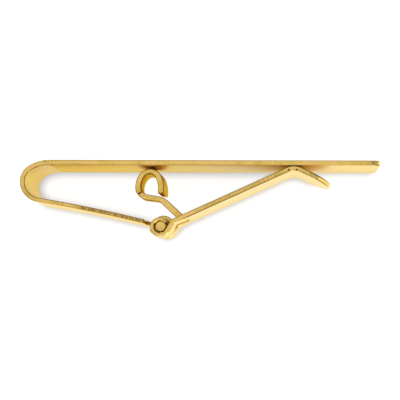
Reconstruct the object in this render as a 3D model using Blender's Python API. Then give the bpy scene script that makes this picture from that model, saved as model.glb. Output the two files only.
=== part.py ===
# Hinged money clip, lying on one side edge. Metres.
# X runs along the front plate towards its open end, Y from the back leg towards the front plate,
# and Z across the clip's width, up from the table at zero.
import math

import bmesh
import bpy

MM = 0.001
DEG = math.pi / 180

# The whole clip
LENGTH = 52.2 * MM
WIDTH = 15.5 * MM
EDGE_ROUNDING = 0.11 * MM
ARC_STEP = 9.0 * DEG
CORNER_STEPS = 5
MERGE_DISTANCE = 0.0001 * MM
FLAT_ANGLE = 0.1 * DEG

# Front plate: a flat strip, square at the seam, with two rounded corners at its open end
PLATE_THICKNESS = 0.75 * MM
PLATE_CORNER = 1.25 * MM
SEAM_GAP = 0.03 * MM

# Spring leg: the return bend in three arcs of its inner face, the bowed leg, the tongue and its curl
SHOULDER_RADIUS = 5.12 * MM
SHOULDER_TURN = 29.1 * DEG
TIP_RADIUS = 2.08 * MM
TIP_TURN = 69.9 * DEG
HEEL_RADIUS = 2.38 * MM
HEEL_TURN = 72.2 * DEG
BEND_THICKNESS = 0.71 * MM
LEG_THICKNESS = 0.62 * MM
LEG_RUN = 15.81 * MM
LEG_BOW = 4.35 * DEG
LEG_STEPS = 6
TONGUE_WIDTH = 4.3 * MM
TONGUE_RUN = 0.38 * MM
TONGUE_LIFT = 50.5 * DEG
TONGUE_LIFT_RADIUS = 0.45 * MM
TONGUE_RISE = 0.83 * MM
LEG_EYE_RADIUS = 0.95 * MM
LEG_EYE_TURN = 190.0 * DEG
LEG_EYE_END_RADIUS = 1.48 * MM
LEG_EYE_END_TURN = 90.0 * DEG

# Hinge pin, borne by the near side of each loosely curled eye
PIN_RADIUS = 0.72 * MM
PIN_INSET = 0.12 * MM
PIN_DOME = 0.22 * MM
PIN_SIDES = 32
PIN_DOME_STEPS = 4
BEARING_GAP = 0.02 * MM
LEG_BEARING = 81.0 * DEG
LEVER_BEARING = 220.0 * DEG

# Lever: two curled eyes, the knee, the long arm, the nose at the plate and the thumb tab
LEVER_THICKNESS = 0.70 * MM
EYE_TIP_THICKNESS = 0.42 * MM
EYE_SIDE_THICKNESS = 0.56 * MM
EYE_FLOOR_THICKNESS = 0.38 * MM
LEVER_EYE_RADIUS = 0.88 * MM
LEVER_EYE_START = 38.0 * DEG
LEVER_EYE_SIDE_TURN = 142.0 * DEG
LEVER_EYE_FLOOR_TURN = 92.0 * DEG
LEVER_EYE_RISE_TURN = 57.0 * DEG
RISE_RUN = 1.42 * MM
KNEE_RADIUS = 1.20 * MM
ARM_RUN = 17.85 * MM
SOLVER_SPLIT_SHARE = 0.5
NOSE_RADIUS = 2.7 * MM
NOSE_GAP = 0.05 * MM
TAB_DROP = 25.0 * DEG
TAB_RUN = 4.7 * MM
TAB_BOW = 3.5 * MM
TAB_TIP_WIDTH = 1.2 * MM
TAB_STEPS = 10
SLOT_SIDE_GAP = 0.2 * MM

# Cam loop: a wide head that bears on the plate, and a narrow stem that makes the floor and the neck
# and lies down into the end of the lever's slot
LOOP_WIDTH = 10.0 * MM
LOOP_SHOULDER_WIDTH = 5.8 * MM
STEM_WIDTH = 4.3 * MM
LOOP_END_THICKNESS = 0.85 * MM
CROWN_THICKNESS = 0.69 * MM
BACK_SIDE_THICKNESS = 0.88 * MM
FLOOR_THICKNESS = 0.75 * MM
NECK_THICKNESS = 0.97 * MM
LOOP_LEAN = 15.8 * DEG
LOOP_CLEARANCE = 0.05 * MM
LOOP_END_RUN = 0.58 * MM
LOOP_END_ALONG = 0.3 * MM
LOOP_END_ACROSS = 0.5 * MM
FRONT_SIDE_RADIUS = 3.43 * MM
FRONT_SIDE_TURN = 30.8 * DEG
CROWN_START = 117.1 * DEG
CROWN_RADIUS = 1.05 * MM
CROWN_RISE_TURN = 58.8 * DEG
CROWN_FALL_TURN = 58.8 * DEG
BACK_SIDE_RADIUS = 2.44 * MM
BACK_SIDE_TURN = 41.2 * DEG
FLOOR_CORNER_RADIUS = 0.89 * MM
HEAD_CORNER_TURN = 26.0 * DEG
STEM_CORNER_TURN = 48.7 * DEG
FLOOR_RUN = 1.82 * MM
NECK_RADIUS = 2.6 * MM
NECK_TURN = 33.1 * DEG
FOOT_RADIUS = 0.6 * MM
FOOT_GAP = 0.02 * MM

GOLD = (0.86, 0.60, 0.20, 1.0)


def lerp(a, b, share):
    return a + (b - a) * share


class Trail:
    # The line that one face of a strip follows, seen along the width: straight runs and arcs.
    # The strip's thickness lies to the right of the line.

    def __init__(self, x, y, heading):
        self.x = x
        self.y = y
        self.heading = heading
        self.run_so_far = 0.0
        self.stations = []
        self.mark(0.0)

    def mark(self, inset):
        self.stations.append((self.x, self.y, self.heading, self.run_so_far, inset))

    def last(self):
        return len(self.stations) - 1

    def run(self, length, inset=0.0):
        self.x += length * math.cos(self.heading)
        self.y += length * math.sin(self.heading)
        self.run_so_far += length
        self.mark(inset)
        return self.last()

    def centre(self, radius, side):
        # side is 1 where the arc turns left and -1 where it turns right
        return (
            self.x - side * radius * math.sin(self.heading),
            self.y + side * radius * math.cos(self.heading),
        )

    def turn(self, radius, angle):
        side = math.copysign(1.0, angle)
        centre_x, centre_y = self.centre(radius, side)
        steps = max(1, math.ceil(abs(angle) / ARC_STEP))
        first = self.heading
        for step in range(1, steps + 1):
            self.heading = first + angle * step / steps
            self.x = centre_x + side * radius * math.sin(self.heading)
            self.y = centre_y - side * radius * math.cos(self.heading)
            self.run_so_far += radius * abs(angle) / steps
            self.mark(0.0)
        return self.last()

    def bow(self, length, angle, steps):
        # A long run that turns a little on its way
        for step in range(steps):
            self.heading += angle / steps
            self.run(length / steps)
        return self.last()

    def round_end(self, along, across, steps):
        # The last stretch of a strip, whose two corners are rounded off along it and across it
        advanced = 0.0
        for step in range(1, steps + 1):
            angle = math.pi / 2 * step / steps
            reach = along * math.sin(angle)
            self.run(reach - advanced, across * (1 - math.cos(angle)))
            advanced = reach
        return self.last()

    def taper(self, first, last, inset):
        # Both sides of the strip draw in evenly between two stations
        start = self.stations[first][3]
        span = self.stations[last][3] - start
        for index in range(first, len(self.stations)):
            x, y, heading, run, _ = self.stations[index]
            self.stations[index] = (x, y, heading, run, inset * min(1.0, (run - start) / span))

    def round_start(self, along, across):
        # The same two corners on the first stretch
        self.stations.clear()
        self.mark(across)
        advanced = 0.0
        for step in range(1, CORNER_STEPS + 1):
            angle = math.pi / 2 * step / CORNER_STEPS
            reach = along * (1 - math.cos(angle))
            self.run(reach - advanced, across * (1 - math.sin(angle)))
            advanced = reach
        return self.last()


def faces_of(trail, thickness_at):
    # The two points of each station: on the drawn face, and through the thickness on the other face
    pairs = []
    for x, y, heading, run, inset in trail.stations:
        thickness = thickness_at(run)
        back = (x + thickness * math.sin(heading), y - thickness * math.cos(heading))
        pairs.append(((x, y), back, inset))
    return pairs


def thickness_table(marks):
    # Thickness along a strip, level or tapering between the marks of (run, thickness)
    def thickness_at(run):
        previous = marks[0]
        for mark in marks:
            if run <= mark[0]:
                span = mark[0] - previous[0]
                return mark[1] if span == 0 else lerp(previous[1], mark[1], (run - previous[0]) / span)
            previous = mark
        return marks[-1][1]

    return thickness_at


def strip_mesh(pairs, lines, has_cell):
    # A closed solid from pairs of face points, cut across the width at the given lines.
    # has_cell(station, column) says where the blank has metal.
    mesh = bmesh.new()
    in_round_end = mesh.verts.layers.int.new("in_round_end")
    columns = len(lines) - 1
    grid = {}

    def vertex(station, column, side):
        key = (station, column, side)
        if key not in grid:
            x, y = pairs[station][side]
            inset = pairs[station][2]
            z = min(max(lines[column], lines[0] + inset), lines[-1] - inset)
            grid[key] = mesh.verts.new((x, y, z))
            grid[key][in_round_end] = 1 if inset else 0
        return grid[key]

    def cell(station, column):
        return 0 <= station < len(pairs) - 1 and 0 <= column < columns and has_cell(station, column)

    for station in range(len(pairs) - 1):
        for column in range(columns):
            if not cell(station, column):
                continue
            after = station + 1
            above = column + 1
            for side in (0, 1):
                mesh.faces.new(
                    (
                        vertex(station, column, side),
                        vertex(after, column, side),
                        vertex(after, above, side),
                        vertex(station, above, side),
                    )
                )
            borders = (
                (station, column - 1, station, column, after, column),
                (station, above, station, above, after, above),
                (station - 1, column, station, column, station, above),
                (after, column, after, column, after, above),
            )
            for beside_station, beside_column, first, low, second, high in borders:
                if cell(beside_station, beside_column):
                    continue
                mesh.faces.new(
                    (
                        vertex(first, low, 0),
                        vertex(second, high, 0),
                        vertex(second, high, 1),
                        vertex(first, low, 1),
                    )
                )
    bmesh.ops.remove_doubles(mesh, verts=mesh.verts, dist=MERGE_DISTANCE)
    bmesh.ops.recalc_face_normals(mesh, faces=mesh.faces)

    # A rounded end is one flat face on each side, so the cuts across it go
    cuts = []
    for edge in mesh.edges:
        at_end = edge.verts[0][in_round_end] or edge.verts[1][in_round_end]
        if at_end and edge.is_manifold and edge.calc_face_angle() < FLAT_ANGLE:
            cuts.append(edge)
    bmesh.ops.dissolve_edges(mesh, edges=cuts, use_verts=True)
    return mesh


def turned_mesh(profile, sides):
    # A solid turned about Z from (radius, height) points, closed by a point on the axis at each end
    mesh = bmesh.new()
    rings = []
    for radius, height in profile[1:-1]:
        ring = []
        for side in range(sides):
            angle = 2 * math.pi * side / sides
            ring.append(mesh.verts.new((radius * math.cos(angle), radius * math.sin(angle), height)))
        rings.append(ring)
    for lower, upper in zip(rings, rings[1:]):
        for side in range(sides):
            after = (side + 1) % sides
            mesh.faces.new((lower[side], lower[after], upper[after], upper[side]))
    for ring, (_, height) in ((rings[0], profile[0]), (rings[-1], profile[-1])):
        tip = mesh.verts.new((0.0, 0.0, height))
        for side in range(sides):
            mesh.faces.new((ring[side], ring[(side + 1) % sides], tip))
    bmesh.ops.recalc_face_normals(mesh, faces=mesh.faces)
    return mesh


def polished_gold(name, roughness):
    material = bpy.data.materials.new(name)
    material.use_nodes = True
    shader = material.node_tree.nodes["Principled BSDF"]
    shader.inputs["Base Color"].default_value = GOLD
    shader.inputs["Metallic"].default_value = 1.0
    shader.inputs["Roughness"].default_value = roughness
    return material


def add_piece(name, mesh, pivot, roughness, rounding):
    # A named piece hung on its pivot empty, drawn in world coordinates and moved into the pivot's own
    bmesh.ops.translate(mesh, verts=mesh.verts, vec=[-value for value in pivot.matrix_world.translation])
    data = bpy.data.meshes.new(name)
    mesh.to_mesh(data)
    mesh.free()
    data.shade_smooth()
    data.set_sharp_from_angle(angle=35 * DEG)
    data.materials.append(polished_gold(name + "_gold", roughness))
    piece = bpy.data.objects.new(name, data)
    bpy.context.scene.collection.objects.link(piece)
    piece.parent = pivot
    if rounding:
        bevel = piece.modifiers.new("rounded_edges", "BEVEL")
        bevel.width = rounding
        bevel.segments = 2
        bevel.limit_method = "ANGLE"
        bevel.angle_limit = 40 * DEG
    return piece


def add_pivot(name, place, parent=None):
    pivot = bpy.data.objects.new(name, None)
    bpy.context.scene.collection.objects.link(pivot)
    pivot.empty_display_size = WIDTH
    pivot.parent = parent
    pivot.location = place
    bpy.context.view_layer.update()
    return pivot


def leg_trail():
    # Starts at the seam, on the inner face, and runs round the bend and along the leg to its curl
    trail = Trail(0.0, -PLATE_THICKNESS, math.pi)
    trail.turn(SHOULDER_RADIUS, SHOULDER_TURN)
    tip = trail.turn(TIP_RADIUS, TIP_TURN)
    heel = trail.turn(HEEL_RADIUS, HEEL_TURN)
    full_width = trail.bow(LEG_RUN, -LEG_BOW, LEG_STEPS)
    trail.run(TONGUE_RUN)
    trail.turn(TONGUE_LIFT_RADIUS, TONGUE_LIFT)
    trail.run(TONGUE_RISE)
    eye = trail.centre(LEG_EYE_RADIUS + LEG_THICKNESS, -1.0)
    trail.turn(LEG_EYE_RADIUS + LEG_THICKNESS, -LEG_EYE_TURN)
    trail.turn(LEG_EYE_END_RADIUS + LEG_THICKNESS, -LEG_EYE_END_TURN)
    return trail, tip, heel, full_width, eye


def lever_trail(eye, arm_heading, slot_run):
    # Starts at the free end of the curled eye and runs round the pin, up the arm and down the tab
    start = LEVER_EYE_START
    trail = Trail(
        eye[0] + LEVER_EYE_RADIUS * math.cos(start),
        eye[1] + LEVER_EYE_RADIUS * math.sin(start),
        start + math.pi / 2,
    )
    side = trail.turn(LEVER_EYE_RADIUS, LEVER_EYE_SIDE_TURN)
    floor = trail.turn(LEVER_EYE_RADIUS, LEVER_EYE_FLOOR_TURN)
    rise = trail.turn(LEVER_EYE_RADIUS, LEVER_EYE_RISE_TURN)
    trail.run(RISE_RUN)
    rise_heading = trail.heading
    knee = trail.turn(KNEE_RADIUS, arm_heading + 2 * math.pi - rise_heading)
    slot = trail.run(slot_run)
    trail.run(ARM_RUN - slot_run)
    trail.turn(NOSE_RADIUS, -TAB_DROP - arm_heading)
    trail.run(TAB_RUN - TAB_BOW)
    trail.round_end(TAB_BOW, (WIDTH - TAB_TIP_WIDTH) / 2, TAB_STEPS)
    return trail, (side, floor, rise), knee, slot


def arm_heading_for(eye, nose_height):
    # The arm's slope, halved in on until the top of the nose stands at the wanted height
    low = 0.0
    high = math.pi / 3
    for _ in range(50):
        middle = (low + high) / 2
        trail, _, knee, _ = lever_trail(eye, middle, ARM_RUN * SOLVER_SPLIT_SHARE)
        top = max(station[1] for station in trail.stations[knee:])
        if top > nose_height:
            high = middle
        else:
            low = middle
    return (low + high) / 2


def crossing(point, heading, other, other_heading):
    # Where a line from point meets a line through other, as a run from point
    dx = other[0] - point[0]
    dy = other[1] - point[1]
    across = math.cos(heading) * math.sin(other_heading) - math.sin(heading) * math.cos(other_heading)
    return (dx * math.sin(other_heading) - dy * math.cos(other_heading)) / across


def step_from(point, heading, length):
    return (point[0] + length * math.cos(heading), point[1] + length * math.sin(heading))


def loop_trail(pin, arm_point, arm_heading):
    # Drawn from the crown's own centre, so the crown can be set by its reach from the pin.
    # It ends on the arm's upper face, turned into the arm's own direction.
    reach = -PLATE_THICKNESS - pin[1] - LOOP_CLEARANCE - CROWN_RADIUS - CROWN_THICKNESS
    crown = (pin[0] - reach * math.sin(LOOP_LEAN), pin[1] + reach * math.cos(LOOP_LEAN))
    side_start = CROWN_START - FRONT_SIDE_TURN
    crown_first = (
        crown[0] + CROWN_RADIUS * math.sin(CROWN_START),
        crown[1] - CROWN_RADIUS * math.cos(CROWN_START),
    )
    trail = Trail(
        crown_first[0] - FRONT_SIDE_RADIUS * (math.sin(CROWN_START) - math.sin(side_start)),
        crown_first[1] + FRONT_SIDE_RADIUS * (math.cos(CROWN_START) - math.cos(side_start)),
        side_start,
    )
    trail.x -= LOOP_END_RUN * math.cos(side_start)
    trail.y -= LOOP_END_RUN * math.sin(side_start)
    trail.round_start(LOOP_END_ALONG, LOOP_END_ACROSS)
    trail.run(LOOP_END_RUN - LOOP_END_ALONG)
    front = trail.turn(FRONT_SIDE_RADIUS, FRONT_SIDE_TURN)
    top = trail.turn(CROWN_RADIUS, CROWN_RISE_TURN)
    trail.turn(CROWN_RADIUS, CROWN_FALL_TURN)
    back = trail.turn(BACK_SIDE_RADIUS, BACK_SIDE_TURN)
    shoulder = trail.turn(FLOOR_CORNER_RADIUS, HEAD_CORNER_TURN)
    trail.turn(FLOOR_CORNER_RADIUS, STEM_CORNER_TURN)
    floor = trail.run(FLOOR_RUN)
    neck = trail.turn(NECK_RADIUS, -NECK_TURN)
    foot_turn = math.remainder(arm_heading - trail.heading, 2 * math.pi)
    to_arm = crossing((trail.x, trail.y), trail.heading, arm_point, arm_heading)
    low_neck = trail.run(to_arm - FOOT_RADIUS * math.tan(foot_turn / 2))
    trail.turn(FOOT_RADIUS, foot_turn)
    trail.taper(front, shoulder, (LOOP_WIDTH - LOOP_SHOULDER_WIDTH) / 2)
    return trail, (front, top, back, floor, neck, low_neck), shoulder


def shifted(pairs, shift):
    moved = []
    for front, back, inset in pairs:
        moved.append(
            ((front[0] + shift[0], front[1] + shift[1]), (back[0] + shift[0], back[1] + shift[1]), inset)
        )
    return moved


def all_cells(station, column):
    return True


def build():
    for old in list(bpy.data.objects):
        bpy.data.objects.remove(old, do_unlink=True)

    # The bend line of the leg places the pin, and the pin places the lever and its loop
    leg, tip, heel, full_width, leg_eye = leg_trail()
    leg_slack = LEG_EYE_RADIUS - PIN_RADIUS - BEARING_GAP
    pin = step_from(leg_eye, LEG_BEARING + math.pi, leg_slack)
    leg_thickness = thickness_table(
        [
            (0.0, PLATE_THICKNESS),
            (leg.stations[tip][3], BEND_THICKNESS),
            (leg.stations[heel][3], LEG_THICKNESS),
        ]
    )
    leg_pairs = faces_of(leg, leg_thickness)

    lever_slack = LEVER_EYE_RADIUS - PIN_RADIUS - BEARING_GAP
    lever_eye = step_from(pin, LEVER_BEARING, lever_slack)
    arm_heading = arm_heading_for(lever_eye, -PLATE_THICKNESS - NOSE_GAP)
    plain_lever, _, knee, _ = lever_trail(lever_eye, arm_heading, ARM_RUN * SOLVER_SPLIT_SHARE)
    arm_point = plain_lever.stations[knee][:2]

    loop, (front, top, back, loop_floor, neck, low_neck), shoulder = loop_trail(pin, arm_point, arm_heading)
    loop_thickness = thickness_table(
        [
            (loop.stations[front][3], LOOP_END_THICKNESS),
            (loop.stations[top][3], CROWN_THICKNESS),
            (loop.stations[back][3], BACK_SIDE_THICKNESS),
            (loop.stations[loop_floor][3], FLOOR_THICKNESS),
            (loop.stations[neck][3], NECK_THICKNESS),
            (loop.stations[low_neck][3], NECK_THICKNESS),
            (loop.run_so_far, LEVER_THICKNESS),
        ]
    )
    loop_pairs = faces_of(loop, loop_thickness)
    slot_run = math.dist(arm_point, (loop.x, loop.y)) + FOOT_GAP
    lever, (side, floor, rise), knee, slot = lever_trail(lever_eye, arm_heading, slot_run)
    lever_thickness = thickness_table(
        [
            (0.0, EYE_TIP_THICKNESS),
            (lever.stations[side][3], EYE_SIDE_THICKNESS),
            (lever.stations[floor][3], EYE_FLOOR_THICKNESS),
            (lever.stations[rise][3], LEVER_THICKNESS),
        ]
    )
    lever_pairs = faces_of(lever, lever_thickness)

    # The origin stands under the middle of the clip's own box
    every_point = [point for pair in leg_pairs + lever_pairs for point in pair[:2]]
    left = min(point[0] for point in every_point)
    low = min(point[1] for point in every_point)
    shift = (-left - LENGTH / 2, -low / 2)
    plate_end = LENGTH / 2 - shift[0]

    plate_pairs = plate_faces(plate_end)

    tongue_low = (WIDTH - TONGUE_WIDTH) / 2
    tongue_high = (WIDTH + TONGUE_WIDTH) / 2
    loop_low = (WIDTH - LOOP_WIDTH) / 2
    loop_high = (WIDTH + LOOP_WIDTH) / 2
    stem_low = (WIDTH - STEM_WIDTH) / 2
    stem_high = (WIDTH + STEM_WIDTH) / 2

    body = add_pivot("clip_frame", (0.0, 0.0, 0.0))
    seam = (shift[0], shift[1], 0.0)
    leg_pivot = add_pivot("leg_flex", seam, body)
    pin_place = (pin[0] + shift[0], pin[1] + shift[1], 0.0)
    lever_pivot = add_pivot("lever_pivot", [a - b for a, b in zip(pin_place, seam)], leg_pivot)

    add_piece(
        "front_plate",
        strip_mesh(shifted(plate_pairs, shift), [0.0, WIDTH], all_cells),
        body,
        0.12,
        EDGE_ROUNDING,
    )
    add_piece(
        "spring_leg",
        strip_mesh(
            shifted(leg_pairs, shift),
            [0.0, tongue_low, tongue_high, WIDTH],
            lambda station, column: column == 1 or station < full_width,
        ),
        leg_pivot,
        0.14,
        EDGE_ROUNDING,
    )
    add_piece(
        "lever_arm",
        strip_mesh(
            shifted(lever_pairs, shift),
            [0.0, tongue_low - SLOT_SIDE_GAP, tongue_high + SLOT_SIDE_GAP, WIDTH],
            lambda station, column: column != 1 or station >= slot,
        ),
        lever_pivot,
        0.12,
        EDGE_ROUNDING,
    )
    add_piece(
        "cam_loop",
        strip_mesh(
            shifted(loop_pairs, shift),
            [loop_low, stem_low, stem_high, loop_high],
            lambda station, column: column == 1 or station < shoulder,
        ),
        lever_pivot,
        0.14,
        EDGE_ROUNDING,
    )
    pin_mesh = turned_mesh(pin_profile(), PIN_SIDES)
    bmesh.ops.translate(pin_mesh, verts=pin_mesh.verts, vec=pin_place)
    add_piece("hinge_pin", pin_mesh, leg_pivot, 0.2, 0.0)
    print("seam", seam, "pin", pin_place, "arm slope", arm_heading / DEG, "height", -low)


def plate_faces(plate_end):
    # Drawn on the outer face, from the seam to the rounded corners of the open end
    trail = Trail(SEAM_GAP, 0.0, 0.0)
    trail.run(plate_end - SEAM_GAP - PLATE_CORNER)
    trail.round_end(PLATE_CORNER, PLATE_CORNER, CORNER_STEPS)
    return faces_of(trail, lambda run: PLATE_THICKNESS)


def pin_profile():
    # Half of the pin's outline: a straight shank between two shallow domes
    low = PIN_INSET
    high = WIDTH - PIN_INSET
    lower_dome = []
    upper_dome = []
    for step in range(PIN_DOME_STEPS + 1):
        angle = math.pi / 2 * step / PIN_DOME_STEPS
        radius = PIN_RADIUS * math.sin(angle)
        height = PIN_DOME * (1 - math.cos(angle))
        lower_dome.append((radius, low + height))
        upper_dome.insert(0, (radius, high - height))
    return lower_dome + upper_dome


build()
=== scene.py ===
import math

import bmesh
import bpy
from mathutils import Matrix, Vector
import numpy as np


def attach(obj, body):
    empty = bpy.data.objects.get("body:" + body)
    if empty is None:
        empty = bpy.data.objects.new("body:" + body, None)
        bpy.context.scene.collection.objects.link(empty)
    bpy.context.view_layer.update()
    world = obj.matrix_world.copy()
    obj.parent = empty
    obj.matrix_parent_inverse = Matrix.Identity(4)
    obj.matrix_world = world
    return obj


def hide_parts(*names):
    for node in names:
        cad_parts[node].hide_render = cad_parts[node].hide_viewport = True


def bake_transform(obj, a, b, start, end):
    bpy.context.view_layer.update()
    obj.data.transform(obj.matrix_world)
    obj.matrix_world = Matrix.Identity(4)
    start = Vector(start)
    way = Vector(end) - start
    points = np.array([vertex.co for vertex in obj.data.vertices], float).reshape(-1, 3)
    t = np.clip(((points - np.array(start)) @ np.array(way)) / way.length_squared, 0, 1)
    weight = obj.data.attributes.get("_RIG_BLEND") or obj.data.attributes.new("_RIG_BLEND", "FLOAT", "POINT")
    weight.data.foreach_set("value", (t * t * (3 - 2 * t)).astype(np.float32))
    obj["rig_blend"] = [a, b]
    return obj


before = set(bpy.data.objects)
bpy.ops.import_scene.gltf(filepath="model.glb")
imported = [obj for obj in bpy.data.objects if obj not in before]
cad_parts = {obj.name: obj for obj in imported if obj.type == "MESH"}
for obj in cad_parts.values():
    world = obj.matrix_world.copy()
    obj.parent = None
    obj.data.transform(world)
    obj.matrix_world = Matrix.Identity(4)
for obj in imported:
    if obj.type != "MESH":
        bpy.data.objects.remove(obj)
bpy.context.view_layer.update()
mm = 0.001
deg = math.pi / 180

# the clip as a whole; X and Y here start at the seam, on the plate's outer face
clip = {
    "width": 15.5 * mm,
    "length": 52.2 * mm,
    "arcStep": 3.0 * deg,  # turn between two cuts of a bend
    "runStep": 1.0 * mm,  # run between two cuts of a straight
    "sharpAngle": 35 * deg,  # edges sharper than this are rounded and stay crisp
    "flatAngle": 0.1 * deg,
}

# the seam's place in the frame: the trails are drawn from it
shift = (-21.8291 * mm, 5.5029 * mm)


# trails: each follows one face of a strip, and the metal lies on its right

class Trail:
    def __init__(self, x, y, heading):
        self.x, self.y, self.heading = x, y, heading
        self.length = 0.0
        self.stations = []
        self.mark()

    def mark(self, inset=0.0):  # inset: how far the strip's sides are drawn in here
        self.stations.append((self.x, self.y, self.heading, self.length, inset))
        return len(self.stations) - 1

    def run(self, length, inset=0.0):
        steps = max(1, math.ceil(length / clip["runStep"]))
        for step in range(steps):
            self.x += length / steps * math.cos(self.heading)
            self.y += length / steps * math.sin(self.heading)
            self.length += length / steps
            last = self.mark(inset if step == steps - 1 else 0.0)
        return last

    def centre(self, radius, side):
        return (self.x - side * radius * math.sin(self.heading),
                self.y + side * radius * math.cos(self.heading))

    def turn(self, radius, angle):
        side = 1 if angle > 0 else -1
        cx, cy = self.centre(radius, side)
        steps = max(2, math.ceil(abs(angle) / clip["arcStep"]))
        first = self.heading
        for step in range(1, steps + 1):
            self.heading = first + angle * step / steps
            self.x = cx + side * radius * math.sin(self.heading)
            self.y = cy - side * radius * math.cos(self.heading)
            self.length += radius * abs(angle) / steps
            self.mark()
        return len(self.stations) - 1

    def bow(self, length, angle, steps):
        for step in range(steps):
            self.heading += angle / steps
            self.run(length / steps)
        return len(self.stations) - 1

    def roundEnd(self, along, across, steps=10):
        done = 0.0
        for step in range(1, steps + 1):
            a = math.pi / 2 * step / steps
            reach = along * math.sin(a)
            self.run(reach - done, across * (1 - math.cos(a)))
            done = reach

    def taper(self, first, last, inset):
        start = self.stations[first][3]
        span = self.stations[last][3] - start
        for i in range(first, len(self.stations)):
            x, y, heading, length, _ = self.stations[i]
            self.stations[i] = (x, y, heading, length, inset * min(1.0, (length - start) / span))

    def roundStart(self, along, across, steps=8):
        self.stations.clear()
        self.mark(across)
        done = 0.0
        for step in range(1, steps + 1):
            a = math.pi / 2 * step / steps
            reach = along * (1 - math.cos(a))
            self.run(reach - done, across * (1 - math.sin(a)))
            done = reach


def stepFrom(point, heading, length):
    return (point[0] + length * math.cos(heading), point[1] + length * math.sin(heading))


def thicknessAlong(marks):
    # level or evenly tapering between (length along the trail, thickness)
    def at(length):
        before = marks[0]
        for here in marks:
            if length <= here[0]:
                span = here[0] - before[0]
                if span == 0:
                    return here[1]
                t = (length - before[0]) / span
                return before[1] + (here[1] - before[1]) * t
            before = here
        return marks[-1][1]
    return at


def twoFaces(trail, thickness):
    # the points of both faces at each station, with the inset
    pairs = []
    for x, y, heading, length, inset in trail.stations:
        t = thickness(length)
        pairs.append(((x, y), (x + t * math.sin(heading), y - t * math.cos(heading)), inset))
    return pairs


def crossing(point, heading, other, otherHeading):
    # length from the point to where its line meets the other line
    dx, dy = other[0] - point[0], other[1] - point[1]
    across = math.cos(heading) * math.sin(otherHeading) - math.sin(heading) * math.cos(otherHeading)
    return (dx * math.sin(otherHeading) - dy * math.cos(otherHeading)) / across


# materials: gold-toned spring brass, as rolled and polished sheet with sheared edges, and as a turned pin

def toLinear(hexColour):
    values = [int(hexColour[i:i + 2], 16) / 255 for i in (1, 3, 5)]
    linear = [v / 12.92 if v <= 0.04045 else ((v + 0.055) / 1.055) ** 2.4 for v in values]
    return (*linear, 1.0)


def addNode(tree, kind, settings=None, **links):
    node = tree.nodes.new(kind)
    for key, value in (settings or {}).items():
        if isinstance(key, int) or key in node.inputs:
            node.inputs[key].default_value = value
        else:
            setattr(node, key, value)
    for socket, source in links.items():
        target = node.inputs[int(socket[5:])] if socket.startswith("input") else node.inputs[socket]
        tree.links.new(source, target)
    return node


goldSheet = {
    # the dark brown serves both the shear marks and nicks and the painted shade line along the corners
    "colour": "#E4C169", "warm": "#F0C276", "green": "#D2B154", "tarnish": "#5E3E12",
    # the grazing tint, and a paler one that paints the reflection of brighter light towards the open end,
    # over the given lengths from the left end
    "grazing": "#FFF2B0", "paleTint": None, "paleFrom": (12.0 * mm, 34.0 * mm),
    "roughness": 0.29, "edgeRoughness": 0.30,
    # mottling: its size, how much of it the polished faces keep, and where the ramp's ends lie
    "blotch": 1.6 * mm, "faceMottling": 0.25, "greenAt": 0.30, "warmAt": 0.70,
    # how far a normal points up on a sheared edge, how much of an edge's lean is taken out, and how
    # far the faces are cupped up, before and after the sheet turns pale
    "edgeFrom": (0.90, 0.98), "level": 0.0, "tilt": (0.0, 0.0),
    # the painted dark line of shade along a rounded corner: where it starts from the left end, and which way
    # it faces
    "cornerDark": 0.80, "cornerFrom": (-1.0 * mm, 0.0),
    "cornerRise": (0.05, 0.30), "cornerFall": (0.99, 0.90),
    "cornerFront": (-0.985, -0.93, 0.0, 1.0), "cornerSide": (-0.2, 0.4, 0.55, 1.0),
    # shear marks: their spacing, the noise levels that make one, and the share beyond the striped lengths
    "stripe": 0.13 * mm, "stripes": (0.42, 0.62), "stripeDark": 0.6, "strayStripes": 0.12,
    "striped": (), "stripeStop": 0.4 * mm, "dragStretch": (1.0, 0.12, 0.05),
    # single nicks: each has its place from the left end and the plate's outer face, slant, half length,
    # half width and darkness; their rims soften between the two shares, on the upper edge alone
    "marks": (), "nickRim": (1.25, 0.6), "nickReach": (0.5 * mm, 0.4 * mm),
    # painted shade in the hollows and between touching parts
    "grime": 0.5 * mm, "grimeFrom": (0.06, 0.40, 0.02, 1.0),
    # rolling lines on the faces and drag on the edges, as bump
    "rollingLine": 0.09 * mm, "rollingStretch": (0.06, 1.0, 1.0),
    "bumpDepth": 0.02 * mm, "bumpStrength": (0.06, 0.3),
}


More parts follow.
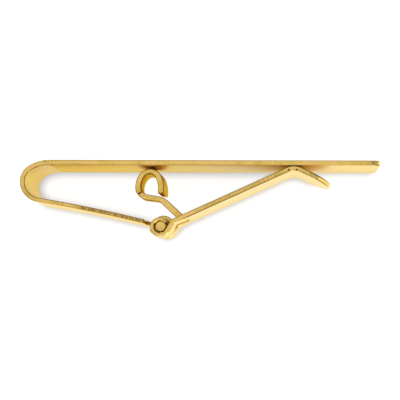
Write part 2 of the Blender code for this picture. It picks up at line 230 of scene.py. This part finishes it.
def goldSheetMaterial(name, **changes):
    # polished sheet: a soft mirror with faint rolling lines, sheared edges with tool marks across
    # them, and a painted brown line of shade along each rounded corner
    options = {**goldSheet, **changes}
    material = bpy.data.materials.new(name)
    material.use_nodes = True
    tree = material.node_tree
    tree.nodes.clear()
    out = addNode(tree, "ShaderNodeOutputMaterial")
    shader = addNode(tree, "ShaderNodeBsdfPrincipled", {"Metallic": 1.0})
    tree.links.new(shader.outputs["BSDF"], out.inputs["Surface"])

    def maths(operation, first, second=0.0):
        node = addNode(tree, "ShaderNodeMath", {"operation": operation})
        for socket, value in zip(node.inputs, (first, second)):
            if isinstance(value, (int, float)):
                socket.default_value = value
            else:
                tree.links.new(value, socket)
        return node.outputs[0]

    def ranged(value, fromMin, fromMax, toMin=0.0, toMax=1.0):
        return addNode(tree, "ShaderNodeMapRange", {"From Min": fromMin, "From Max": fromMax,
                                                    "To Min": toMin, "To Max": toMax},
                       Value=value).outputs[0]

    place = addNode(tree, "ShaderNodeTexCoord")
    where = addNode(tree, "ShaderNodeSeparateXYZ", Vector=place.outputs["Object"])
    geometry = addNode(tree, "ShaderNodeNewGeometry")
    facing = addNode(tree, "ShaderNodeSeparateXYZ", Vector=geometry.outputs["Normal"])
    upright = maths("ABSOLUTE", facing.outputs["Z"])
    edge = ranged(upright, *options["edgeFrom"])
    # painted shade: a dark line along each rounded corner; it fades where the corner faces straight to the
    # front and is weaker where it faces left
    rounded = addNode(tree, "ShaderNodeAttribute", {"attribute_name": "corner"})
    corner = maths("MULTIPLY", rounded.outputs["Fac"],
                   maths("MULTIPLY", ranged(upright, *options["cornerRise"]),
                         ranged(upright, *options["cornerFall"])))
    # the part of the normal that lies level, a little over its true length, so that it is never nought
    levelPart = maths("SQRT", maths("SUBTRACT", 1.0001, maths("MULTIPLY", upright, upright)))
    front = ranged(maths("DIVIDE", facing.outputs["Y"], levelPart), *options["cornerFront"])
    side = ranged(maths("DIVIDE", facing.outputs["X"], levelPart), *options["cornerSide"])
    fromLeft = maths("ADD", where.outputs["X"], clip["length"] / 2)
    cornerDark = maths("MULTIPLY", maths("MULTIPLY", corner, options["cornerDark"]),
                       maths("MULTIPLY", maths("MULTIPLY", front, side),
                             ranged(fromLeft, *options["cornerFrom"])))
    shader.inputs["Specular Tint"].default_value = toLinear(options["grazing"])
    pale = ranged(fromLeft, *options["paleFrom"])
    if options["paleTint"]:
        # painted reflection: the grazing tint turns paler towards the open end, where more light falls
        grazing = addNode(tree, "ShaderNodeMix", {"data_type": "RGBA"})
        tree.links.new(pale, grazing.inputs[0])
        grazing.inputs[6].default_value = toLinear(options["grazing"])
        grazing.inputs[7].default_value = toLinear(options["paleTint"])
        tree.links.new(grazing.outputs[2], shader.inputs["Specular Tint"])

    # mottling in two gold tones, faint on the polished faces
    blotch = addNode(tree, "ShaderNodeTexNoise", {"Scale": 1 / options["blotch"], "Detail": 3.0,
                                                  "Roughness": 0.6},
                     Vector=place.outputs["Object"])
    strength = ranged(edge, 0.0, 1.0, options["faceMottling"], 1.0)
    mottled = maths("MULTIPLY", maths("SUBTRACT", blotch.outputs["Fac"], 0.5), strength)
    tones = addNode(tree, "ShaderNodeValToRGB", Fac=maths("ADD", mottled, 0.5))
    ramp = tones.color_ramp
    ramp.elements[0].position, ramp.elements[0].color = options["greenAt"], toLinear(options["green"])
    ramp.elements[1].position, ramp.elements[1].color = options["warmAt"], toLinear(options["warm"])
    middle = ramp.elements.new(0.5)
    middle.color = toLinear(options["colour"])

    # shear marks across the edge, where the blade dragged
    across = addNode(tree, "ShaderNodeMapping", {"Scale": options["dragStretch"]},
                     Vector=place.outputs["Object"])
    drag = addNode(tree, "ShaderNodeTexNoise", {"Scale": 1 / options["stripe"], "Detail": 3.0,
                                                "Roughness": 0.7},
                   Vector=across.outputs["Vector"])
    stripes = ranged(drag.outputs["Fac"], *options["stripes"])
    coverage = options["strayStripes"]
    for start, full, end in options["striped"]:
        rising = ranged(fromLeft, start, full)
        falling = ranged(fromLeft, end, end - options["stripeStop"])
        coverage = maths("MAXIMUM", coverage, maths("MULTIPLY", rising, falling))
    marked = maths("MULTIPLY", stripes, coverage)
    edgeDark = maths("MULTIPLY", maths("MULTIPLY", marked, edge), options["stripeDark"])
    for x, y, slant, halfLength, halfWidth, dark in options["marks"]:
        dx = maths("SUBTRACT", where.outputs["X"], x * mm - clip["length"] / 2)
        dy = maths("SUBTRACT", where.outputs["Y"], y * mm + shift[1])
        c, s = math.cos(slant * deg), math.sin(slant * deg)
        along = maths("ADD", maths("MULTIPLY", dx, c), maths("MULTIPLY", dy, s))
        beside = maths("SUBTRACT", maths("MULTIPLY", dy, c), maths("MULTIPLY", dx, s))
        beyond = maths("MAXIMUM", maths("SUBTRACT", maths("ABSOLUTE", along), halfLength * mm), 0.0)
        away = maths("SQRT", maths("ADD", maths("MULTIPLY", beyond, beyond),
                                   maths("MULTIPLY", beside, beside)))
        outer, inner = (share * halfWidth * mm for share in options["nickRim"])
        below, above = (clip["width"] - reach for reach in options["nickReach"])
        nick = maths("MULTIPLY", ranged(away, outer, inner), ranged(where.outputs["Z"], below, above))
        edgeDark = maths("MAXIMUM", edgeDark, maths("MULTIPLY", nick, dark))

    # painted shade: the colour is darkened in the hollows and between touching parts, where shade falls; the
    # painted corner shade and the shear marks and nicks are mixed in as dark brown
    hollow = addNode(tree, "ShaderNodeAmbientOcclusion", {"samples": 6, "Distance": options["grime"]})
    dirt = ranged(hollow.outputs["AO"], *options["grimeFrom"])
    browned = addNode(tree, "ShaderNodeMix", {"data_type": "RGBA"})
    tree.links.new(maths("MAXIMUM", cornerDark, edgeDark), browned.inputs[0])
    tree.links.new(tones.outputs["Color"], browned.inputs[6])
    browned.inputs[7].default_value = toLinear(options["tarnish"])
    colour = addNode(tree, "ShaderNodeVectorMath", {"operation": "SCALE"},
                     input0=browned.outputs[2], Scale=dirt)
    tree.links.new(colour.outputs["Vector"], shader.inputs["Base Color"])

    # rolling lines along the sheet, and the blade's drag on the edges
    stretch = addNode(tree, "ShaderNodeMapping", {"Scale": options["rollingStretch"]},
                      Vector=place.outputs["Object"])
    lines = addNode(tree, "ShaderNodeTexNoise", {"Scale": 1 / options["rollingLine"], "Detail": 2.0},
                    Vector=stretch.outputs["Vector"])
    surface = addNode(tree, "ShaderNodeMix", {"data_type": "FLOAT"})
    tree.links.new(edge, surface.inputs[0])
    tree.links.new(lines.outputs["Fac"], surface.inputs[2])
    tree.links.new(drag.outputs["Fac"], surface.inputs[3])
    # drawn-in sides lean but were ground level, and the faces are slightly cupped
    lean = maths("SUBTRACT", 1.0, maths("MULTIPLY", edge, options["level"]))
    spread = addNode(tree, "ShaderNodeCombineXYZ", {"Z": 1.0}, X=lean, Y=lean)
    levelled = addNode(tree, "ShaderNodeVectorMath", {"operation": "MULTIPLY"},
                       input0=geometry.outputs["Normal"], input1=spread.outputs[0])
    cupped = maths("MULTIPLY", ranged(pale, 0.0, 1.0, *options["tilt"]), maths("SUBTRACT", 1.0, edge))
    upward = addNode(tree, "ShaderNodeCombineXYZ", Z=cupped)
    tilted = addNode(tree, "ShaderNodeVectorMath", {"operation": "ADD"},
                     input0=levelled.outputs["Vector"], input1=upward.outputs[0])
    normal = addNode(tree, "ShaderNodeVectorMath", {"operation": "NORMALIZE"},
                     input0=tilted.outputs["Vector"])
    bump = addNode(tree, "ShaderNodeBump", {"Distance": options["bumpDepth"]},
                   Normal=normal.outputs["Vector"], Height=surface.outputs[0],
                   Strength=ranged(edge, 0.0, 1.0, *options["bumpStrength"]))
    tree.links.new(bump.outputs["Normal"], shader.inputs["Normal"])
    tree.links.new(ranged(edge, 0.0, 1.0, options["roughness"], options["edgeRoughness"]),
                   shader.inputs["Roughness"])
    return material


# meshes

def stripMesh(pairs, lines, hasCell, plainStations=()):
    # a closed strip of metal, cut across its width at the lines; cells that hasCell refuses are left
    # open, and edges at the plain stations stay square
    mesh = bmesh.new()
    weight = mesh.edges.layers.float.new("bevel_weight_edge")
    inEnd = mesh.verts.layers.int.new("inEnd")
    columns = len(lines) - 1
    grid, plain = {}, set()

    def vertex(station, column, side):
        key = (station, column, side)
        if key not in grid:
            x, y = pairs[station][side]
            inset = pairs[station][2]
            z = min(max(lines[column], lines[0] + inset), lines[-1] - inset)
            grid[key] = mesh.verts.new((x, y, z))
            grid[key][inEnd] = 1 if inset else 0
            if station in plainStations:
                plain.add(grid[key])
        return grid[key]

    def cell(station, column):
        return 0 <= station < len(pairs) - 1 and 0 <= column < columns and hasCell(station, column)

    for s in range(len(pairs) - 1):
        for c in range(columns):
            if not cell(s, c):
                continue
            for side in (0, 1):
                mesh.faces.new((vertex(s, c, side), vertex(s + 1, c, side),
                                vertex(s + 1, c + 1, side), vertex(s, c + 1, side)))
            borders = ((s, c - 1, s, c, s + 1, c), (s, c + 1, s, c + 1, s + 1, c + 1),
                       (s - 1, c, s, c, s, c + 1), (s + 1, c, s + 1, c, s + 1, c + 1))
            for bs, bc, s1, c1, s2, c2 in borders:
                if not cell(bs, bc):
                    mesh.faces.new((vertex(s1, c1, 0), vertex(s2, c2, 0),
                                    vertex(s2, c2, 1), vertex(s1, c1, 1)))
    bmesh.ops.remove_doubles(mesh, verts=mesh.verts, dist=1e-7)
    bmesh.ops.recalc_face_normals(mesh, faces=mesh.faces)
    plain = {v for v in plain if v.is_valid}
    # a rounded end is one flat face on each side, so the cuts across it go
    cuts = [e for e in mesh.edges if (e.verts[0][inEnd] or e.verts[1][inEnd])
            and e.is_manifold and e.calc_face_angle() < clip["flatAngle"]]
    bmesh.ops.dissolve_edges(mesh, edges=cuts, use_verts=True)
    for e in mesh.edges:
        square = e.verts[0] in plain and e.verts[1] in plain
        if e.is_manifold and e.calc_face_angle() > clip["sharpAngle"] and not square:
            e[weight] = 1.0
    return mesh


def turnedMesh(profile, sides):
    # a closed turned piece; the profile of (radius, height) starts and ends on the axis
    mesh = bmesh.new()
    rings = []
    for radius, height in profile[1:-1]:
        rings.append([mesh.verts.new((radius * math.cos(2 * math.pi * i / sides),
                                      radius * math.sin(2 * math.pi * i / sides), height))
                      for i in range(sides)])
    for low, high in zip(rings, rings[1:]):
        for i in range(sides):
            j = (i + 1) % sides
            mesh.faces.new((low[i], low[j], high[j], high[i]))
    for ring, (_, height) in ((rings[0], profile[0]), (rings[-1], profile[-1])):
        tip = mesh.verts.new((0, 0, height))
        for i in range(sides):
            mesh.faces.new((ring[i], ring[(i + 1) % sides], tip))
    bmesh.ops.recalc_face_normals(mesh, faces=mesh.faces)
    return mesh


def addPiece(name, mesh, material, rounding=0.0, segments=4):
    corner = mesh.faces.layers.float.new("corner")  # 1 on the rounded edges, for the painted shade line
    if rounding:
        weight = mesh.edges.layers.float["bevel_weight_edge"]
        sharp = [e for e in mesh.edges if e[weight] > 0.5]
        done = bmesh.ops.bevel(mesh, geom=sharp, offset=rounding, offset_type="OFFSET", profile=0.5,
                               segments=segments, affect="EDGES", clamp_overlap=False)
        for f in done["faces"]:
            f[corner] = 1.0
    for v in mesh.verts:
        v.co += Vector((shift[0], shift[1], 0))
    data = bpy.data.meshes.new(name)
    mesh.to_mesh(data)
    mesh.free()
    data.shade_smooth()
    data.set_sharp_from_angle(angle=clip["sharpAngle"])
    data.materials.append(material)
    piece = bpy.data.objects.new(name, data)
    bpy.context.scene.collection.objects.link(piece)
    if rounding:
        flat = piece.modifiers.new("flatFaces", "WEIGHTED_NORMAL")
        flat.keep_sharp = True
    return piece


# front plate, from the seam to its two rounded corners
width = clip["width"]
plate = {"thickness": 0.75 * mm, "corner": 1.25 * mm, "rounding": 0.14 * mm}
plateTrail = Trail(0.0, 0.0, 0.0)
plateTrail.run(clip["length"] / 2 - shift[0] - plate["corner"])
plateTrail.roundEnd(plate["corner"], plate["corner"])
platePairs = twoFaces(plateTrail, lambda length: plate["thickness"])

# polished sheet; its painted reflection turns paler and less gold towards the open end, where the shear left
# marks
plateGold = goldSheetMaterial(
    "rolledGoldPlate", grime=0.14 * mm, roughness=0.31, grazing="#FFF0A8", paleTint="#FFFBD8",
    tilt=(0.10, 0.03), stripeDark=0.7, striped=((49.6 * mm, 50.8 * mm, 52.5 * mm),),
    marks=((4.67, -0.45, 90, 0.22, 0.06, 0.55), (6.9, -0.47, 0, 1.2, 0.035, 0.35)))
frontPlate = addPiece("frontPlate", stripMesh(platePairs, [0.0, width], lambda s, c: True, (0,)),
                      plateGold, plate["rounding"])
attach(frontPlate, "plate")
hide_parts("front_plate")
print("front plate built")


# spring leg: bend, bowed leg, tongue and centre eye in one strip; turns are (radius, angle)
leg = {
    "seamThickness": 0.75 * mm, "bendThickness": 0.71 * mm, "legThickness": 0.62 * mm,
    "shoulder": (5.12 * mm, 29.1 * deg), "tip": (2.08 * mm, 69.9 * deg),
    "heel": (2.38 * mm, 72.2 * deg),
    "run": 15.81 * mm, "bow": 4.35 * deg, "bowSteps": 6,
    "tongueWidth": 4.3 * mm, "tongueRun": 0.38 * mm,
    "lift": (0.45 * mm, 50.5 * deg), "rise": 0.83 * mm,
    "eyeRadius": 0.95 * mm, "eyeTurn": 190.0 * deg,
    "eyeEndRadius": 1.48 * mm, "eyeEndTurn": 90.0 * deg,
    "rounding": 0.14 * mm,
}
legTrail = Trail(0.0, -leg["seamThickness"], math.pi)
legTrail.turn(*leg["shoulder"])
legTip = legTrail.turn(*leg["tip"])
legHeel = legTrail.turn(*leg["heel"])
legFull = legTrail.bow(leg["run"], -leg["bow"], leg["bowSteps"])
legTrail.run(leg["tongueRun"])
legTrail.turn(*leg["lift"])
legTrail.run(leg["rise"])
legEye = legTrail.centre(leg["eyeRadius"] + leg["legThickness"], -1)
legTrail.turn(leg["eyeRadius"] + leg["legThickness"], -leg["eyeTurn"])
legTrail.turn(leg["eyeEndRadius"] + leg["legThickness"], -leg["eyeEndTurn"])
legPairs = twoFaces(legTrail, thicknessAlong([
    (0.0, leg["seamThickness"]),
    (legTrail.stations[legTip][3], leg["bendThickness"]),
    (legTrail.stations[legHeel][3], leg["legThickness"])]))
tongueLow, tongueHigh = (width - leg["tongueWidth"]) / 2, (width + leg["tongueWidth"]) / 2

# the same sheet, thinner; its edge is the most marked by the shear
legGold = goldSheetMaterial(
    "rolledGoldLeg", roughness=0.26, stripeDark=0.85, stripes=(0.36, 0.56),
    striped=((7.0 * mm, 9.5 * mm, 19.0 * mm),),
    marks=((3.66, -0.26, 0, 0.02, 0.10, 0.95), (4.12, -0.45, 90, 0.22, 0.06, 0.45),
           (6.28, -6.43, 75, 0.2, 0.06, 0.6), (15.6, -8.5, 80, 0.2, 0.09, 0.75)))
springLeg = addPiece("springLeg",
                     stripMesh(legPairs, [0.0, tongueLow, tongueHigh, width],
                               lambda s, c: c == 1 or s < legFull, (0,)),
                     legGold, leg["rounding"])
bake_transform(springLeg, "plate", "leg", start=(-0.024, 0.0052, 0.0), end=(-0.024, -0.0003, 0.0))
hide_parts("spring_leg")
print("spring leg built")


# pin, borne by one side of each loose eye; bearings are the way to it
pin = {
    "radius": 0.72 * mm, "inset": 0.12 * mm, "dome": 0.05 * mm, "rim": 0.05 * mm, "play": 0.02 * mm,
    "legBearing": 81.0 * deg, "leverBearing": 220.0 * deg,
    "sides": 64, "domeSteps": 4, "rimSteps": 6,
}
pinPlace = stepFrom(legEye, pin["legBearing"] + math.pi, leg["eyeRadius"] - pin["radius"] - pin["play"])

# turned rod with domed ends and rounded rims
pinGold = goldSheetMaterial("turnedGoldPin", cornerDark=0.4, grime=0.2 * mm)
pinProfile = []
for step in range(pin["domeSteps"] + 1):
    share = step / pin["domeSteps"]
    pinProfile.append(((pin["radius"] - pin["rim"]) * share, pin["inset"] + pin["dome"] * share ** 2))
for step in range(1, pin["rimSteps"] + 1):
    a = math.pi / 2 * step / pin["rimSteps"]
    pinProfile.append((pin["radius"] - pin["rim"] * (1 - math.sin(a)),
                       pin["inset"] + pin["dome"] + pin["rim"] * (1 - math.cos(a))))
pinProfile += [(r, width - z) for r, z in reversed(pinProfile)]
pinMesh = turnedMesh(pinProfile, pin["sides"])
bmesh.ops.translate(pinMesh, verts=pinMesh.verts, vec=(*pinPlace, 0.0))
hingePin = addPiece("hingePin", pinMesh, pinGold)
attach(hingePin, "leg")
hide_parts("hinge_pin")
print("hinge pin built")


# lever: outer eyes, knee, arm with its slot, nose and tab; the arm is as steep as brings the nose to
# its gap from the plate
lever = {
    "thickness": 0.70 * mm, "eyeTip": 0.42 * mm, "eyeSide": 0.56 * mm, "eyeFloor": 0.38 * mm,
    "eyeRadius": 0.88 * mm, "eyeStart": 38.0 * deg,
    "sideTurn": 142.0 * deg, "floorTurn": 92.0 * deg, "riseTurn": 57.0 * deg,
    "rise": 1.42 * mm, "kneeRadius": 1.20 * mm, "armRun": 17.85 * mm,
    "noseRadius": 2.7 * mm, "noseGap": 0.05 * mm, "tabDrop": 25.0 * deg, "tabRun": 4.7 * mm,
    "tabBow": 3.5 * mm, "tabTipWidth": 1.2 * mm, "tabSteps": 24, "slotSideGap": 0.2 * mm,
    "steepest": 60.0 * deg, "halvings": 50,
    "rounding": 0.14 * mm,
}


def leverTrail(eye, armHeading, slotRun):
    start = lever["eyeStart"]
    trail = Trail(eye[0] + lever["eyeRadius"] * math.cos(start),
                  eye[1] + lever["eyeRadius"] * math.sin(start), start + math.pi / 2)
    side = trail.turn(lever["eyeRadius"], lever["sideTurn"])
    floor = trail.turn(lever["eyeRadius"], lever["floorTurn"])
    rise = trail.turn(lever["eyeRadius"], lever["riseTurn"])
    trail.run(lever["rise"])
    knee = trail.turn(lever["kneeRadius"], armHeading + 2 * math.pi - trail.heading)
    slot = trail.run(slotRun)
    trail.run(lever["armRun"] - slotRun)
    trail.turn(lever["noseRadius"], -lever["tabDrop"] - armHeading)
    trail.run(lever["tabRun"] - lever["tabBow"])
    trail.roundEnd(lever["tabBow"], (clip["width"] - lever["tabTipWidth"]) / 2, lever["tabSteps"])
    return trail, (side, floor, rise), knee, slot


leverEye = stepFrom(pinPlace, pin["leverBearing"], lever["eyeRadius"] - pin["radius"] - pin["play"])
low, high = 0.0, lever["steepest"]
for _ in range(lever["halvings"]):
    armHeading = (low + high) / 2
    trail, _, knee, _ = leverTrail(leverEye, armHeading, lever["armRun"] / 2)
    if max(s[1] for s in trail.stations[knee:]) > -plate["thickness"] - lever["noseGap"]:
        high = armHeading
    else:
        low = armHeading
armPoint = trail.stations[knee][:2]
print("lever's slope found")


# cam loop, drawn from its crown, which reaches the plate: a wide head, then a narrow stem
# that makes floor and neck and lies down into the end of the lever's slot
loop = {
    "width": 10.0 * mm, "shoulderWidth": 5.8 * mm, "stemWidth": 4.3 * mm,
    "endThickness": 0.85 * mm, "crownThickness": 0.69 * mm, "backThickness": 0.88 * mm,
    "floorThickness": 0.75 * mm, "neckThickness": 0.97 * mm,
    "lean": 15.8 * deg, "clearance": 0.05 * mm, "endRun": 0.58 * mm,
    "endRound": (0.3 * mm, 0.5 * mm),
    "frontSide": (3.43 * mm, 30.8 * deg), "crownStart": 117.1 * deg,
    "crown": (1.05 * mm, 58.8 * deg, 58.8 * deg), "backSide": (2.44 * mm, 41.2 * deg),
    "floorCorner": (0.89 * mm, 26.0 * deg, 48.7 * deg), "floorRun": 1.82 * mm,
    "neck": (2.6 * mm, 33.1 * deg), "footRadius": 0.6 * mm,
    "rounding": 0.15 * mm,
}
# the crown's centre leans back from the pin at the reach that brings its outside to the plate; the
# head is then drawn from its free end, found by going back from the crown's first point
reach = (-plate["thickness"] - pinPlace[1] - loop["clearance"]
         - loop["crown"][0] - loop["crownThickness"])
crown = (pinPlace[0] - reach * math.sin(loop["lean"]), pinPlace[1] + reach * math.cos(loop["lean"]))
sideStart = loop["crownStart"] - loop["frontSide"][1]
crownFirst = (crown[0] + loop["crown"][0] * math.sin(loop["crownStart"]),
              crown[1] - loop["crown"][0] * math.cos(loop["crownStart"]))
sideFirst = (crownFirst[0] - loop["frontSide"][0] * (math.sin(loop["crownStart"]) - math.sin(sideStart)),
             crownFirst[1] + loop["frontSide"][0] * (math.cos(loop["crownStart"]) - math.cos(sideStart)))
loopTrail = Trail(*stepFrom(sideFirst, sideStart, -loop["endRun"]), sideStart)
loopTrail.roundStart(*loop["endRound"])
loopTrail.run(loop["endRun"] - loop["endRound"][0])
loopFront = loopTrail.turn(*loop["frontSide"])
loopTop = loopTrail.turn(loop["crown"][0], loop["crown"][1])
loopTrail.turn(loop["crown"][0], loop["crown"][2])
loopBack = loopTrail.turn(*loop["backSide"])
loopShoulder = loopTrail.turn(loop["floorCorner"][0], loop["floorCorner"][1])
loopTrail.turn(loop["floorCorner"][0], loop["floorCorner"][2])
loopFloor = loopTrail.run(loop["floorRun"])
loopNeck = loopTrail.turn(loop["neck"][0], -loop["neck"][1])
footTurn = math.remainder(armHeading - loopTrail.heading, 2 * math.pi)
toArm = crossing((loopTrail.x, loopTrail.y), loopTrail.heading, armPoint, armHeading)
lowNeck = loopTrail.run(toArm - loop["footRadius"] * math.tan(footTurn / 2))
loopTrail.turn(loop["footRadius"], footTurn)
loopTrail.taper(loopFront, loopShoulder, (loop["width"] - loop["shoulderWidth"]) / 2)
loopPairs = twoFaces(loopTrail, thicknessAlong([
    (loopTrail.stations[loopFront][3], loop["endThickness"]),
    (loopTrail.stations[loopTop][3], loop["crownThickness"]),
    (loopTrail.stations[loopBack][3], loop["backThickness"]),
    (loopTrail.stations[loopFloor][3], loop["floorThickness"]),
    (loopTrail.stations[loopNeck][3], loop["neckThickness"]),
    (loopTrail.stations[lowNeck][3], loop["neckThickness"]),
    (loopTrail.length, lever["thickness"])]))
loopLow, loopHigh = (width - loop["width"]) / 2, (width + loop["width"]) / 2
stemLow, stemHigh = (width - loop["stemWidth"]) / 2, (width + loop["stemWidth"]) / 2

# a duller strip; its drawn-in sides were ground level, and nicks show where it was formed
loopGold = goldSheetMaterial(
    "rolledGoldLoop", roughness=0.30, grazing="#DCC47C", grime=0.2 * mm,
    edgeFrom=(0.80, 0.87), level=1.0, tilt=(0.14, 0.14),
    marks=((17.46, -4.66, 55, 0.45, 0.05, 0.7), (17.77, -2.22, 70, 0.15, 0.06, 0.75),
           (20.58, -3.7, 0, 0.0, 0.09, 0.5), (20.6, -4.17, 0, 0.0, 0.09, 0.5),
           (19.3, -5.5, 20, 0.35, 0.1, 0.3), (20.55, -5.62, -30, 0.15, 0.08, 0.4)))
camLoop = addPiece("camLoop",
                   stripMesh(loopPairs, [loopLow, stemLow, stemHigh, loopHigh],
                             lambda s, c: c == 1 or s < loopShoulder, (len(loopPairs) - 1,)),
                   loopGold, loop["rounding"])
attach(camLoop, "lever")
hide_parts("cam_loop")
print("cam loop built")


# the lever itself: its slot ends where the stem comes down
slotRun = math.dist(armPoint, (loopTrail.x, loopTrail.y))
leverLine, (side, floor, rise), knee, slot = leverTrail(leverEye, armHeading, slotRun)
leverPairs = twoFaces(leverLine, thicknessAlong([
    (0.0, lever["eyeTip"]),
    (leverLine.stations[side][3], lever["eyeSide"]),
    (leverLine.stations[floor][3], lever["eyeFloor"]),
    (leverLine.stations[rise][3], lever["thickness"])]))
slotLow, slotHigh = tongueLow - lever["slotSideGap"], tongueHigh + lever["slotSideGap"]

# the same sheet, best polished; a painted dark line of shade runs along the near edge of the arm
leverGold = goldSheetMaterial(
    "rolledGoldLever", roughness=0.25, grazing="#FFFBD0", tarnish="#442C0A", grime=0.4 * mm,
    cornerDark=1.0, cornerFrom=(22.5 * mm, 24.5 * mm), stripeDark=0.42,
    striped=((24.0 * mm, 28.0 * mm, 38.5 * mm), (39.5 * mm, 41.0 * mm, 46.0 * mm)),
    marks=((39.06, -1.35, -20, 0.05, 0.13, 0.95), (40.17, -1.35, 20, 0.05, 0.13, 0.95)))
leverArm = addPiece("leverArm",
                    stripMesh(leverPairs, [0.0, slotLow, slotHigh, width],
                              lambda s, c: c != 1 or s >= slot, (slot,)),
                    leverGold, lever["rounding"])
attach(leverArm, "lever")
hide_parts("lever_arm")
print("lever built")


# studio: white table, pale surroundings, a faint wide lamp overhead and a stronger one low in front
# on the right; lamps are (watts, diameter, place)
studio = {
    "tableHalf": 2.0, "tableDrop": 0.02 * mm, "tableColour": "#D2D2D2", "seenShare": 0.35,
    # close shadow: its reach, the openness it starts and ends at, its depth, and what mirrors see of it
    "glow": 0.955, "contact": 1.6 * mm, "openness": (0.40, 0.95), "darkest": 0.50, "mirroredShade": 0.9,
    # brightness of the tent, and the heights from 0 underfoot to 1 overhead where each level holds
    "zenith": 0.74, "rim": 0.56, "below": 0.5,
    "belowAt": 0.45, "rimAt": (0.50, 0.72), "zenithAt": 0.90,
    "softLamp": (0.12, 0.40, (-0.06, 0.08, 0.60)),
    "windowLamp": (1.4, 0.30, (0.30, -0.42, 0.20)),
}
tableData = bpy.data.meshes.new("whiteTable")
h = studio["tableHalf"]
tableData.from_pydata([(-h, -h, 0), (h, -h, 0), (h, h, 0), (-h, h, 0)], [], [(0, 1, 2, 3)])
table = bpy.data.objects.new("whiteTable", tableData)
table.location.z = -studio["tableDrop"]
bpy.context.scene.collection.objects.link(table)
tableMaterial = bpy.data.materials.new("matteWhiteBoard")
tableMaterial.use_nodes = True
tree = tableMaterial.node_tree
tree.nodes.clear()
# matte white board, lifted to white where the camera, mirrors or glass see it, so that only the
# close shadows stay; mirrors see these more faintly
tableOut = addNode(tree, "ShaderNodeOutputMaterial")
board = addNode(tree, "ShaderNodeBsdfDiffuse", {"Color": toLinear(studio["tableColour"])})
near = addNode(tree, "ShaderNodeAmbientOcclusion", {"samples": 8, "Distance": studio["contact"]})
soft = addNode(tree, "ShaderNodeMapRange",
               {"From Min": studio["openness"][0], "From Max": studio["openness"][1],
                "To Min": studio["darkest"]}, Value=near.outputs["AO"])
rays = addNode(tree, "ShaderNodeLightPath")
mirrored = addNode(tree, "ShaderNodeMath", {"operation": "MULTIPLY", 1: studio["mirroredShade"]},
                   input0=rays.outputs["Is Glossy Ray"])
shade = addNode(tree, "ShaderNodeMath", {"operation": "MAXIMUM"},
                input0=soft.outputs[0], input1=mirrored.outputs[0])
glow = addNode(tree, "ShaderNodeEmission", {"Strength": studio["glow"]}, Color=shade.outputs[0])
shaded = addNode(tree, "ShaderNodeVectorMath",
                 {"operation": "SCALE", 0: (studio["seenShare"],) * 3}, Scale=shade.outputs[0])
close = addNode(tree, "ShaderNodeBsdfDiffuse", Color=shaded.outputs[0])
lifted = addNode(tree, "ShaderNodeAddShader", input0=close.outputs[0], input1=glow.outputs[0])
throughRays = addNode(tree, "ShaderNodeMath", {"operation": "ADD", "use_clamp": True},
                      input0=rays.outputs["Is Glossy Ray"], input1=rays.outputs["Is Transmission Ray"])
seenRays = addNode(tree, "ShaderNodeMath", {"operation": "ADD", "use_clamp": True},
                   input0=rays.outputs["Is Camera Ray"], input1=throughRays.outputs[0])
seen = addNode(tree, "ShaderNodeMixShader", Fac=seenRays.outputs[0],
               input1=board.outputs[0], input2=lifted.outputs[0])
tree.links.new(seen.outputs[0], tableOut.inputs["Surface"])
tableData.materials.append(tableMaterial)

world = bpy.data.worlds.new("studio")
bpy.context.scene.world = world
world.use_nodes = True
tree = world.node_tree
tree.nodes.clear()
# a pale tent, lighter overhead than round the horizon, so that polished edges keep their shape
worldOut = addNode(tree, "ShaderNodeOutputWorld")
sky = addNode(tree, "ShaderNodeBackground")
tree.links.new(sky.outputs[0], worldOut.inputs["Surface"])
direction = addNode(tree, "ShaderNodeTexCoord")
up = addNode(tree, "ShaderNodeSeparateXYZ", Vector=direction.outputs["Generated"])
height = addNode(tree, "ShaderNodeMapRange", {"From Min": -1.0, "From Max": 1.0},
                 Value=up.outputs["Z"])
levels = addNode(tree, "ShaderNodeValToRGB", Fac=height.outputs[0])
ramp = levels.color_ramp
ramp.elements[0].position, ramp.elements[0].color = studio["belowAt"], (studio["below"],) * 3 + (1,)
ramp.elements[1].position, ramp.elements[1].color = studio["zenithAt"], (studio["zenith"],) * 3 + (1,)
for position in studio["rimAt"]:
    middle = ramp.elements.new(position)
    middle.color = (studio["rim"],) * 3 + (1,)
tree.links.new(levels.outputs["Color"], sky.inputs["Color"])

for name in ("softLamp", "windowLamp"):
    power, size, place = studio[name]
    lampData = bpy.data.lights.new(name, "AREA")
    lampData.shape = "DISK"
    lampData.size = size
    lampData.energy = power
    lamp = bpy.data.objects.new(name, lampData)
    lamp.location = place
    lamp.rotation_euler = Vector(place).to_track_quat("Z", "Y").to_euler()
    bpy.context.scene.collection.objects.link(lamp)

# camera: straight down falls on the pixel (295, 305) of the 400 x 400 photograph
view = {
    "sensor": 36.0, "pixels": 400, "focal": 1874.0, "downPixel": (295.0, 305.0), "roll": -0.0061,
    "fromSeam": 35.660 * mm, "belowPlate": 20.776 * mm, "height": 285.452 * mm,
    "offset": 0.00125, "nearest": 0.01, "farthest": 10,
}
cameraData = bpy.data.cameras.new("camera")
cameraData.lens = view["sensor"] * view["focal"] / view["pixels"]
cameraData.shift_x, cameraData.shift_y = view["offset"], -view["offset"]
cameraData.clip_start, cameraData.clip_end = view["nearest"], view["farthest"]
camera = bpy.data.objects.new("camera", cameraData)
half = view["pixels"] / 2
downward = Vector((view["downPixel"][0] - half, half - view["downPixel"][1], -view["focal"]))
zAxis = -downward.normalized()
xAxis = Vector((math.cos(view["roll"]), math.sin(view["roll"]), 0))
xAxis = (xAxis - zAxis * xAxis.dot(zAxis)).normalized()
yAxis = zAxis.cross(xAxis)
camera.matrix_world = (Matrix.Translation((shift[0] + view["fromSeam"],
                                           shift[1] - view["belowPlate"], view["height"]))
                       @ Matrix((xAxis, yAxis, zAxis)).to_4x4())
bpy.context.scene.collection.objects.link(camera)
bpy.context.scene.camera = camera
bpy.context.scene.view_settings.view_transform = "Standard"
print("studio set")
